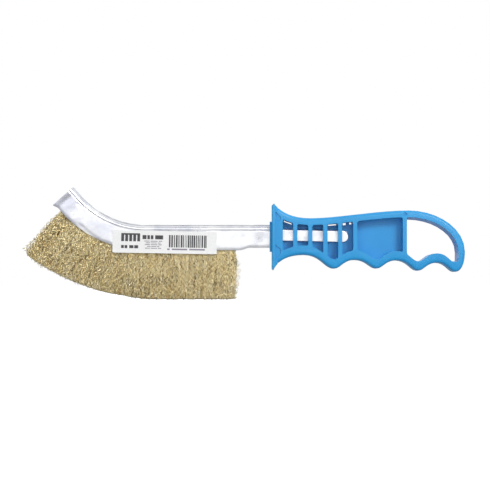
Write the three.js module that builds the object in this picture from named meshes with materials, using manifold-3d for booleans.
// Hand wire brush: a moulded handle with finger grooves, a bent steel channel that runs into the handle
// as a tang, a core wire, bundles of crimped wire folded over the core, and a paper label.
// Millimetres, +Z up. The brush stands on its bristle tips at z = 0. +X points from bristles to hand,
// and the brush is symmetric about the plane y = 0, apart from the label on its -Y side.
import * as THREE from "three";
import { mergeVertices } from "three/addons/utils/BufferGeometryUtils.js";
import Module from "manifold-3d";

const wasm = await Module();
wasm.setup();

// Driving dimensions of the whole brush
const OVERALL_LENGTH = 260;
const FIT_GAP = 0.3;
const MERGE_DISTANCE = 1e-4;

// Steel back: straight along X, then bent upwards about an axis along Y, then a short straight toe
const BACK_HEIGHT = 44.6;
const BEND_RADIUS = 52;
const BEND_START_X = -58.5;
const BEND_CENTRE_Z = BACK_HEIGHT + BEND_RADIUS;
const BEND_ANGLE = THREE.MathUtils.degToRad(48);
const BEND_STEPS = 12;
const TOE_LENGTH = 7;
const TOE_FLARE = { length: 3, widthRatio: 1.1, depth: 16.4 };

// Channel section, with depths measured from the top of the back
const SHEET = 0.8;
const CHANNEL_HALF_WIDTH = 4.2;
const CHANNEL_DEPTH = 15.2;
const BEAD_HALF_WIDTH = 4.4;
const CREASE_DEPTH = 3.5;
const CREASE_INSET = 0.3;
const CREASE_HALF_HEIGHT = 0.6;
const BEAD_ARC_STEPS = 5;

// Shank and tang: the same channel, narrower, where it enters the handle
const SHANK_START_X = 2.9;
const SHANK_STEP_LENGTH = 6;
const SHANK_DEPTH = 13.7;
const SHANK_WIDTH_RATIO = 0.9;
const TANG_START_X = 20.3;
const TANG_END_X = 61.1;
const TANG_DROP = 2.5;
const TANG_SLOPE = 0.7 / 32;
const TANG_DEPTH = 6.9;
const TANG_BEAD_HEIGHT = 1;
const TANG_NOSE_STEPS = 5;
const TANG_NOSE_ANGLE = THREE.MathUtils.degToRad(72);
const TANG_GAP = 0.1;

// Core wire and the wire bundles folded over it
const CORE_RADIUS = 1.2;
const CORE_DEPTH = 4.1;
const CORE_SIDES = 10;
const CORE_START_X = -1;
const CORE_TOE_REACH = 3;
const FOLD_RADIUS = 2.9;
const FOLD_STEPS = 6;
const TIP_HALF_WIDTH = 6.8;
const FILL_START_X = -5.3;
const FILL_ANGLE = Math.asin((OVERALL_LENGTH / 2 + BEND_START_X) / (BEND_RADIUS + BACK_HEIGHT));
const STRAIGHT_BUNDLES = 13;
const BEND_BUNDLES = 13;

// Handle: local x runs from its front face, z is the height above the bristle tips
const HANDLE_LENGTH = 114.5;
const HANDLE_FRONT_X = OVERALL_LENGTH / 2 - HANDLE_LENGTH;
const HANDLE_HALF_WIDTH = 10;
const GUARD_HALF_WIDTH = 11;
const GUARD_FRONT = 0.4;
const GUARD_THICKNESS = 2.4;
const GUARD_ROOT = { length: 3.8, halfWidth: 10.4 };
const BODY_START_X = 3.4;
const COLLAR = { length: 0.8, halfWidth: 6.5, low: 28.5, high: 46.2 };
const RIM = 4;
const FINGER_RIM = 5.5;
const WEB_HALF_THICKNESS = 1.5;
const CURVE_STEPS = 9;
const LOOP_BULGE = 1.3;
const EDGE_ROUND = 1.9;
const GUARD_EDGE_ROUND = 0.6;
const EDGE_ROUND_STEPS = 4;
const CORNER_ROUND = 1.3;
const CORNER_STEPS = 3;
const SHARP_TURN = THREE.MathUtils.degToRad(35);

// Turning points of the finger grooves along the underside of the handle
const GUARD_TIP_HIGH = { x: 1.6, z: 56.8 };
const GUARD_TIP_LOW = { x: 1.2, z: 17.4 };
const GROOVES = [
  { x: 19.4, z: 26.6 },
  { x: 49.5, z: 23.6 },
  { x: 74, z: 23.3 },
  { x: 98, z: 21.9 },
];
const LOBES = [
  { x: 37.3, z: 18.4 },
  { x: 62.4, z: 18.5 },
  { x: 86.9, z: 17.2 },
  { x: 108.8, z: 16.5 },
];
const GROOVE_FULLNESS = 0.56;
const LOBE_FULLNESS = 0.3;

// Openings between the handle's rims, front to back along local x
const WINDOWS = [
  { from: 6.8, to: 13 },
  { from: 15.4, to: 21.9 },
  { from: 24.3, to: 30.7 },
  { from: 33.2, to: 39.5 },
  { from: 41.9, to: 48.4 },
];
const PANEL = { from: 50.8, to: 77.7 };
const LOOP = { from: 80.1, cornerZ: 22.4 };

// Slits right through the web, along the tops of the first, fourth and fifth window
const SLITS = [
  { from: 7.6, to: 12.2, height: 1 },
  { from: 33.9, to: 38.8, height: 0.9 },
  { from: 42.6, to: 44.4, height: 1.4 },
  { from: 46.4, to: 47.8, height: 1.3 },
];
const GUSSET_DEPTH = 0.6;
const GUSSETS = [
  [[2.6, 52], [2.6, 45.5], [5.6, 46.5], [5.6, 49]],
  [[2.6, 23.5], [5.6, 27], [5.6, 30], [2.6, 32.5]],
];
const EJECTOR_MARK = { x: 79, z: 50.6, radius: 1.1, depth: 0.8 };
const CUT_REACH = GUARD_HALF_WIDTH + 1;

// Label on the flat side of the channel, tilted a little as it was stuck on by hand
const LABEL = { length: 61.8, height: 13.3, thickness: 0.2, x: -47.6, z: 34.1, tilt: 1 };

const MATERIALS = {
  handle: new THREE.MeshStandardMaterial({ color: 0x3f97d6, roughness: 0.4, metalness: 0 }),
  steel: new THREE.MeshStandardMaterial({ color: 0xd9dce0, roughness: 0.3, metalness: 1 }),
  core: new THREE.MeshStandardMaterial({ color: 0x9a9c9e, roughness: 0.45, metalness: 1 }),
  brass: new THREE.MeshStandardMaterial({ color: 0xb89f66, roughness: 0.4, metalness: 0.9 }),
  paper: new THREE.MeshStandardMaterial({ color: 0xf4f4f1, roughness: 0.7, metalness: 0 }),
};

const brush = new THREE.Group();

function addPart(name, geometry, material) {
  const mesh = new THREE.Mesh(geometry, material);
  mesh.name = name;
  brush.add(mesh);
  return mesh;
}

// Manifold helpers

function toSolid(geometry) {
  const bare = geometry.clone();
  bare.deleteAttribute("normal");
  bare.deleteAttribute("uv");
  const merged = mergeVertices(bare, MERGE_DISTANCE);
  return new wasm.Manifold(
    new wasm.Mesh({
      numProp: 3,
      vertProperties: merged.attributes.position.array,
      triVerts: new Uint32Array(merged.index.array),
    }),
  );
}

function toGeometry(solid) {
  const { vertProperties, triVerts } = solid.getMesh();
  const geometry = new THREE.BufferGeometry();
  geometry.setAttribute("position", new THREE.BufferAttribute(new Float32Array(vertProperties), 3));
  geometry.setIndex(new THREE.BufferAttribute(new Uint32Array(triVerts), 1));
  geometry.computeVertexNormals();
  return geometry;
}

// Closed solid skinned over stations. A station has a contour, perhaps holes, and a place() that puts a
// section point in space; all stations of one solid have the same number of points.
function skin(stations) {
  const rings = stations.map(({ contour, holes = [], place }) =>
    [contour, ...holes].map((loop) => loop.map(place)),
  );
  const triangles = [];
  for (let s = 0; s + 1 < rings.length; s++) {
    rings[s].forEach((ring, r) => {
      const nextRing = rings[s + 1][r];
      ring.forEach((corner, i) => {
        const j = (i + 1) % ring.length;
        triangles.push([corner, ring[j], nextRing[j]]);
        triangles.push([corner, nextRing[j], nextRing[i]]);
      });
    });
  }
  triangles.push(...capTriangles(stations[0], rings[0]).map(([a, b, c]) => [a, c, b]));
  triangles.push(...capTriangles(stations.at(-1), rings.at(-1)));
  return triangleGeometry(triangles);
}

// Triangles over one end of a skin, turning the same way as the end's contour
function capTriangles({ contour, holes = [] }, ring) {
  const flat = [contour, ...holes].flat();
  const corners = ring.flat();
  const turn = Math.sign(THREE.ShapeUtils.area(contour));
  return THREE.ShapeUtils.triangulateShape(contour, holes).map(([a, b, c]) => {
    const area = THREE.ShapeUtils.area([flat[a], flat[b], flat[c]]);
    return (area * turn > 0 ? [a, b, c] : [a, c, b]).map((index) => corners[index]);
  });
}

function triangleGeometry(triangles) {
  const volume = triangles.reduce((sum, [a, b, c]) => sum + a.dot(b.clone().cross(c)), 0);
  const facingOut = volume < 0 ? triangles.map(([a, b, c]) => [a, c, b]) : triangles;
  return new THREE.BufferGeometry().setFromPoints(facingOut.flat());
}

// Places along the steel back: the top of the back there, and the way from the back to the tips

function straightPlace(x, drop = 0) {
  return {
    top: new THREE.Vector3(x, 0, BACK_HEIGHT - drop),
    down: new THREE.Vector3(0, 0, -1),
  };
}

function bendPlace(angle, toe = 0) {
  const down = new THREE.Vector3(-Math.sin(angle), 0, -Math.cos(angle));
  const onward = new THREE.Vector3(-Math.cos(angle), 0, Math.sin(angle));
  const top = new THREE.Vector3(BEND_START_X, 0, BEND_CENTRE_Z);
  top.addScaledVector(down, BEND_RADIUS).addScaledVector(onward, toe);
  return { top, down };
}

// Section points are (across, depth): across along Y, depth from the back towards the tips
function station({ top, down }, contour, holes) {
  const place = (point) => {
    const placed = top.clone().addScaledVector(down, point.y);
    placed.y += point.x;
    return placed;
  };
  return { contour, holes, place };
}

// Steel channel: a bead along the back, a crease below it, and two flat sides down to the lips

function channelSide(section, inset) {
  const { depth, halfWidth, beadHalfWidth, beadHeight, creaseDepth, creaseInset } = section;
  const side = halfWidth - inset;
  const points = [
    new THREE.Vector2(side, depth),
    new THREE.Vector2(side, creaseDepth + CREASE_HALF_HEIGHT),
    new THREE.Vector2(side - creaseInset, creaseDepth),
  ];
  for (let k = 0; k <= BEAD_ARC_STEPS; k++) {
    const angle = (Math.PI / 2) * (k / BEAD_ARC_STEPS);
    const across = (beadHalfWidth - inset) * Math.cos(angle);
    points.push(new THREE.Vector2(across, beadHeight - (beadHeight - inset) * Math.sin(angle)));
  }
  return points;
}

const mirrored = (points) => points.map((p) => new THREE.Vector2(-p.x, p.y));

function sectionContour(section) {
  const overTheTop = (side) => [...side, ...mirrored(side.slice(0, -1)).reverse()];
  const outer = overTheTop(channelSide(section, 0));
  const inner = overTheTop(channelSide(section, SHEET));
  return [...outer, ...inner.reverse()];
}

function channelContour(depth, widthRatio = 1) {
  return sectionContour({
    depth,
    halfWidth: CHANNEL_HALF_WIDTH * widthRatio,
    beadHalfWidth: BEAD_HALF_WIDTH * widthRatio,
    beadHeight: CREASE_DEPTH - CREASE_HALF_HEIGHT,
    creaseDepth: CREASE_DEPTH,
    creaseInset: CREASE_INSET,
  });
}

// The tang has the shank's width, flat sides without a crease, and a flatter top
function tangContour(depth) {
  const halfWidth = CHANNEL_HALF_WIDTH * SHANK_WIDTH_RATIO;
  const beadHeight = Math.min(TANG_BEAD_HEIGHT, 0.45 * depth);
  const middle = depth / 2;
  return sectionContour({
    depth, halfWidth, beadHalfWidth: halfWidth, beadHeight, creaseDepth: middle, creaseInset: 0,
  });
}

// Steps of the tang's rounded nose, from its full depth to its blunt end: x, and how far both edges draw in
function noseSteps(endX) {
  const radius = TANG_DEPTH / 2;
  const centreX = endX - radius * Math.sin(TANG_NOSE_ANGLE);
  const steps = [];
  for (let k = 0; k <= TANG_NOSE_STEPS; k++) {
    const angle = TANG_NOSE_ANGLE * (k / TANG_NOSE_STEPS);
    steps.push({ x: centreX + radius * Math.sin(angle), shrink: radius * (1 - Math.cos(angle)) });
  }
  return steps;
}

function tangStations() {
  const dropAt = (x) => TANG_DROP + (x - TANG_START_X) * TANG_SLOPE;
  const stations = [];
  for (const { x, shrink } of noseSteps(TANG_END_X).reverse()) {
    stations.push(station(straightPlace(x, dropAt(x) + shrink), tangContour(TANG_DEPTH - 2 * shrink)));
  }
  stations.push(station(straightPlace(TANG_START_X, TANG_DROP), tangContour(TANG_DEPTH)));
  return stations;
}

function steelChannel() {
  const shank = channelContour(SHANK_DEPTH, SHANK_WIDTH_RATIO);
  const head = channelContour(CHANNEL_DEPTH);
  const stations = [
    ...tangStations(),
    station(straightPlace(TANG_START_X - SHEET), shank),
    station(straightPlace(SHANK_START_X), shank),
    station(straightPlace(SHANK_START_X - SHANK_STEP_LENGTH), head),
  ];
  for (let k = 0; k <= BEND_STEPS; k++) {
    stations.push(station(bendPlace(BEND_ANGLE * (k / BEND_STEPS)), head));
  }
  const flared = channelContour(TOE_FLARE.depth, TOE_FLARE.widthRatio);
  stations.push(station(bendPlace(BEND_ANGLE, TOE_LENGTH - TOE_FLARE.length), head));
  stations.push(station(bendPlace(BEND_ANGLE, TOE_LENGTH), flared));
  return skin(stations);
}

// Core wire, round, along the middle of the folds

function circle(radius, depth, sides) {
  const points = [];
  for (let k = 0; k < sides; k++) {
    const angle = (2 * Math.PI * k) / sides;
    points.push(new THREE.Vector2(radius * Math.cos(angle), depth + radius * Math.sin(angle)));
  }
  return points;
}

function coreWire() {
  const section = circle(CORE_RADIUS, CORE_DEPTH, CORE_SIDES);
  const stations = [station(straightPlace(CORE_START_X), section)];
  for (let k = 0; k <= BEND_STEPS; k++) {
    stations.push(station(bendPlace(BEND_ANGLE * (k / BEND_STEPS)), section));
  }
  stations.push(station(bendPlace(BEND_ANGLE, CORE_TOE_REACH), section));
  return skin(stations);
}

// Wire bundle: folded over the core, held between the channel's sides, fanned out to its tips

function bundleSection() {
  const contour = [
    new THREE.Vector2(-FOLD_RADIUS, CHANNEL_DEPTH),
    new THREE.Vector2(-TIP_HALF_WIDTH, BACK_HEIGHT),
    new THREE.Vector2(TIP_HALF_WIDTH, BACK_HEIGHT),
    new THREE.Vector2(FOLD_RADIUS, CHANNEL_DEPTH),
  ];
  for (let k = 0; k <= FOLD_STEPS; k++) {
    const angle = Math.PI * (k / FOLD_STEPS);
    const across = FOLD_RADIUS * Math.cos(angle);
    contour.push(new THREE.Vector2(across, CORE_DEPTH - FOLD_RADIUS * Math.sin(angle)));
  }
  return { contour, hole: circle(CORE_RADIUS + FIT_GAP, CORE_DEPTH, CORE_SIDES) };
}

function bundleBetween(firstPlace, lastPlace) {
  const { contour, hole } = bundleSection();
  return skin([station(firstPlace, contour, [hole]), station(lastPlace, contour, [hole])]);
}

function straightBundle(index) {
  const pitch = (FILL_START_X - BEND_START_X) / STRAIGHT_BUNDLES;
  const heel = FILL_START_X - index * pitch - FIT_GAP / 2;
  return bundleBetween(straightPlace(heel), straightPlace(heel - pitch + FIT_GAP));
}

function bendBundle(index) {
  const pitch = FILL_ANGLE / BEND_BUNDLES;
  const gap = FIT_GAP / BEND_RADIUS;
  const heel = index * pitch + gap / 2;
  const toe = index === BEND_BUNDLES - 1 ? FILL_ANGLE : heel + pitch - gap;
  return bundleBetween(bendPlace(heel), bendPlace(toe));
}

// Handle outline curves, each a list of (x, z) points

function bezier(...corners) {
  const points = corners.map(([x, z]) => new THREE.Vector2(x, z));
  return new THREE.CubicBezierCurve(...points).getPoints(CURVE_STEPS);
}

// S-curve between a groove and a lobe, level at both ends and fuller at the groove
function fingerCurve(from, to, raise = 0) {
  const fullness = (turn) => (GROOVES.includes(turn) ? GROOVE_FULLNESS : LOBE_FULLNESS);
  const span = to.x - from.x;
  return bezier(
    [from.x, from.z + raise],
    [from.x + span * fullness(from), from.z + raise],
    [to.x - span * fullness(to), to.z + raise],
    [to.x, to.z + raise],
  );
}

function fingerLine(raise) {
  const turns = GROOVES.flatMap((groove, i) => [groove, LOBES[i]]);
  return turns.slice(1).flatMap((turn, i) => fingerCurve(turns[i], turn, raise).slice(1));
}

function topLine() {
  const flare = bezier([GUARD_TIP_HIGH.x, GUARD_TIP_HIGH.z], [5.2, 52.6], [11, 48.2], [23, 48.2]);
  const back = bezier([23, 48.2], [39, 48.2], [62, 52.8], [81.5, 52.8]);
  const end = bezier([81.5, 52.8], [97, 52.8], [114.1, 43.5], [HANDLE_LENGTH, 28.5]);
  return [...flare, ...back.slice(1), ...end.slice(1)];
}

function outline() {
  const lastLobe = LOBES.at(-1);
  const firstGroove = GROOVES[0];
  const lowFlare = bezier(
    [GUARD_TIP_LOW.x, GUARD_TIP_LOW.z],
    [3.5, 22.5],
    [9, firstGroove.z],
    [firstGroove.x, firstGroove.z],
  );
  const heel = bezier(
    [lastLobe.x, lastLobe.z],
    [112.5, lastLobe.z],
    [HANDLE_LENGTH, 22],
    [HANDLE_LENGTH, 28.5],
  );
  const front = [
    new THREE.Vector2(GUARD_FRONT, GUARD_TIP_HIGH.z - 1),
    new THREE.Vector2(GUARD_FRONT, GUARD_TIP_LOW.z + 1),
  ];
  return [
    ...front,
    ...lowFlare,
    ...fingerLine(0),
    ...heel.slice(1, -1),
    ...topLine().reverse(),
  ];
}

// Outline of the handle's body behind the thin tips of the guard
function bodyOutline() {
  const behindGuard = outline().filter(({ x }) => x > BODY_START_X);
  const low = behindGuard[0].y;
  const high = behindGuard.at(-1).y;
  const frontX = GUARD_THICKNESS / 2;
  return [new THREE.Vector2(frontX, high), new THREE.Vector2(frontX, low), ...behindGuard];
}

// Points of an open line moved sideways, to the right of its direction
function offsetLine(points, distance) {
  const directions = points.slice(1).map((point, i) => point.clone().sub(points[i]).normalize());
  return points.map((point, i) => {
    const arriving = directions[Math.max(i - 1, 0)];
    const leaving = directions[Math.min(i, directions.length - 1)];
    const along = arriving.clone().add(leaving).normalize();
    return new THREE.Vector2(point.x + along.y * distance, point.y - along.x * distance);
  });
}

// Inner lines of the rims, above the fingers and under the top

function lowerInnerLine() {
  const underFlare = bezier([3, 27], [8, 29.8], [13, 32.1], [GROOVES[0].x, GROOVES[0].z + FINGER_RIM]);
  return [...underFlare, ...fingerLine(FINGER_RIM)];
}

function upperInnerLine() {
  return offsetLine(topLine(), RIM);
}

// Part of a left-to-right line between two values of x
function clipped(line, from, to) {
  const heightAt = (x) => {
    const next = line.findIndex((point) => point.x >= x);
    const [a, b] = [line[next - 1], line[next]];
    return a.y + ((b.y - a.y) * (x - a.x)) / (b.x - a.x);
  };
  const between = line.filter(({ x }) => x > from + CORNER_ROUND && x < to - CORNER_ROUND);
  return [new THREE.Vector2(from, heightAt(from)), ...between, new THREE.Vector2(to, heightAt(to))];
}

// Outline with its sharp corners rounded
function filleted(points) {
  return points.flatMap((corner, i) => {
    const toBefore = points.at(i - 1).clone().sub(corner);
    const toAfter = points[(i + 1) % points.length].clone().sub(corner);
    if (Math.PI - toBefore.angleTo(toAfter) < SHARP_TURN) return [corner];
    const start = corner.clone().add(toBefore.setLength(Math.min(CORNER_ROUND, 0.45 * toBefore.length())));
    const end = corner.clone().add(toAfter.setLength(Math.min(CORNER_ROUND, 0.45 * toAfter.length())));
    return new THREE.QuadraticBezierCurve(start, corner, end).getPoints(CORNER_STEPS);
  });
}

function pocketOutline({ from, to }) {
  const lower = clipped(lowerInnerLine(), from, to);
  const upper = clipped(upperInnerLine(), from, to).reverse();
  return filleted([...lower, ...upper]);
}

// Outline of the finger loop, where bulge narrows it further along the top and the end
function loopOutline(bulge) {
  const isPast = ({ x }) => x > LOOP.from + CORNER_ROUND;
  const lower = clipped(lowerInnerLine(), LOOP.from, LOBES.at(-1).x).slice(0, -1);
  const top = topLine();
  const upper = offsetLine(top, RIM + bulge).slice(top.findIndex(isPast));
  const corner = new THREE.Vector2(HANDLE_LENGTH - RIM - bulge, LOOP.cornerZ);
  const start = new THREE.Vector2(LOOP.from, upper[0].y);
  return filleted([...lower, corner, ...upper.reverse(), start]);
}

// Straight prism of an (x, z) outline between two values of y
function prism(points, fromY, toY) {
  const at = (y) => ({ contour: points, place: (p) => new THREE.Vector3(p.x, y, p.y) });
  return toSolid(skin([at(fromY), at(toY)]));
}

// Prism of an (x, z) outline across the middle plane, with the edges of both sides rounded
function roundedPrism(points, halfWidth, radius) {
  const closed = [points.at(-1), ...points, points[0]];
  const levels = [];
  for (let k = 0; k <= EDGE_ROUND_STEPS; k++) {
    const angle = (Math.PI / 2) * (k / EDGE_ROUND_STEPS);
    const inset = radius * (1 - Math.sin(angle));
    const contour = offsetLine(closed, -inset).slice(1, -1);
    levels.push({ contour, y: halfWidth - radius + radius * Math.cos(angle) });
  }
  const farLevels = levels.map(({ contour, y }) => ({ contour, y: -y })).reverse();
  const stations = [...levels, ...farLevels].map(({ contour, y }) => ({
    contour,
    place: (p) => new THREE.Vector3(p.x, y, p.y),
  }));
  return toSolid(skin(stations));
}

function block(fromX, toX, fromY, toY, fromZ, toZ) {
  const geometry = new THREE.BoxGeometry(toX - fromX, toY - fromY, toZ - fromZ);
  geometry.translate((fromX + toX) / 2, (fromY + toY) / 2, (fromZ + toZ) / 2);
  return toSolid(geometry);
}

// Pocket from one side, down to the web in the middle
function sidePocket(range, side) {
  const web = side * WEB_HALF_THICKNESS;
  const outside = side * CUT_REACH;
  return prism(pocketOutline(range), Math.min(web, outside), Math.max(web, outside));
}

function topSlit({ from, to, height }) {
  const upper = clipped(upperInnerLine(), from, to);
  const lower = upper.map(({ x, y }) => new THREE.Vector2(x, y - height));
  const reach = WEB_HALF_THICKNESS + 1;
  return prism([...lower, ...upper.reverse()], -reach, reach);
}

// Finger loop: right through, with an inner wall that bulges to the middle along the top and the end
function fingerLoop() {
  const at = (y, bulge) => ({
    contour: loopOutline(bulge),
    place: (p) => new THREE.Vector3(p.x, y, p.y),
  });
  const levels = [at(-CUT_REACH, 0), at(-HANDLE_HALF_WIDTH, 0), at(0, LOOP_BULGE)];
  const mirroredLevels = [at(HANDLE_HALF_WIDTH, 0), at(CUT_REACH, 0)];
  return toSolid(skin([...levels, ...mirroredLevels]));
}

// Room for the shank and the tang, in local x
function tangSlot() {
  const halfWidth = BEAD_HALF_WIDTH * SHANK_WIDTH_RATIO + FIT_GAP;
  const tangFrom = TANG_START_X - HANDLE_FRONT_X;
  const tangTo = TANG_END_X - HANDLE_FRONT_X;
  const shankTop = BACK_HEIGHT + FIT_GAP;
  const shankLip = BACK_HEIGHT - SHANK_DEPTH - FIT_GAP;
  const shank = block(
    -COLLAR.length - 1, tangFrom, -halfWidth, halfWidth, shankLip, shankTop,
  );
  const topAt = (x) => BACK_HEIGHT - TANG_DROP - (x - tangFrom) * TANG_SLOPE;
  const innerEnd = tangFrom - 1;
  const upper = [new THREE.Vector2(innerEnd, topAt(innerEnd) + TANG_GAP)];
  const lower = [new THREE.Vector2(innerEnd, topAt(innerEnd) - TANG_DEPTH - TANG_GAP)];
  for (const { x, shrink } of noseSteps(tangTo)) {
    upper.push(new THREE.Vector2(x + TANG_GAP, topAt(x) - shrink + TANG_GAP));
    lower.push(new THREE.Vector2(x + TANG_GAP, topAt(x) - TANG_DEPTH + shrink - TANG_GAP));
  }
  return shank.add(prism([...upper, ...lower.reverse()], -halfWidth, halfWidth));
}

function slab(fromX, toX) {
  return block(fromX, toX, -CUT_REACH, CUT_REACH, 0, GUARD_TIP_HIGH.z);
}

function ejectorMark(side) {
  const { x, z, radius, depth } = EJECTOR_MARK;
  const pin = new THREE.CylinderGeometry(radius, radius, 2 * depth, 12);
  pin.translate(x, side * HANDLE_HALF_WIDTH, z);
  return toSolid(pin);
}

function gussetRecess(points, side) {
  const corners = points.map(([x, z]) => new THREE.Vector2(x, z));
  const floor = side * (HANDLE_HALF_WIDTH - GUSSET_DEPTH);
  const outside = side * CUT_REACH;
  return prism(corners, Math.min(floor, outside), Math.max(floor, outside));
}

function handleSolid() {
  const shape = outline();
  const collar = block(
    -COLLAR.length, 1, -COLLAR.halfWidth, COLLAR.halfWidth, COLLAR.low, COLLAR.high,
  );
  const guard = roundedPrism(shape, GUARD_HALF_WIDTH, GUARD_EDGE_ROUND)
    .intersect(slab(0, GUARD_THICKNESS));
  const root = roundedPrism(shape, GUARD_ROOT.halfWidth, GUARD_EDGE_ROUND)
    .intersect(slab(0, GUARD_ROOT.length));
  let solid = roundedPrism(bodyOutline(), HANDLE_HALF_WIDTH, EDGE_ROUND);
  solid = solid.add(guard).add(root).add(collar);
  for (const slit of SLITS) {
    solid = solid.subtract(topSlit(slit));
  }
  for (const side of [-1, 1]) {
    for (const range of [...WINDOWS, PANEL]) {
      solid = solid.subtract(sidePocket(range, side));
    }
    solid = solid.subtract(ejectorMark(side));
    for (const gusset of GUSSETS) {
      solid = solid.subtract(gussetRecess(gusset, side));
    }
  }
  return solid.subtract(fingerLoop()).subtract(tangSlot());
}

// Assembly

const handle = addPart("handle", toGeometry(handleSolid()), MATERIALS.handle);
handle.position.x = HANDLE_FRONT_X;

addPart("steel_channel", steelChannel(), MATERIALS.steel);
addPart("core_wire", coreWire(), MATERIALS.core);

for (let i = 0; i < STRAIGHT_BUNDLES + BEND_BUNDLES; i++) {
  const geometry = i < STRAIGHT_BUNDLES ? straightBundle(i) : bendBundle(i - STRAIGHT_BUNDLES);
  addPart(`wire_bundle_${String(i + 1).padStart(2, "0")}`, geometry, MATERIALS.brass);
}

const labelSheet = new THREE.BoxGeometry(LABEL.length, LABEL.thickness, LABEL.height);
const label = addPart("label", labelSheet, MATERIALS.paper);
label.position.set(LABEL.x, -(BEAD_HALF_WIDTH + FIT_GAP + LABEL.thickness / 2), LABEL.z);
label.rotation.y = THREE.MathUtils.degToRad(LABEL.tilt);

export default brush;
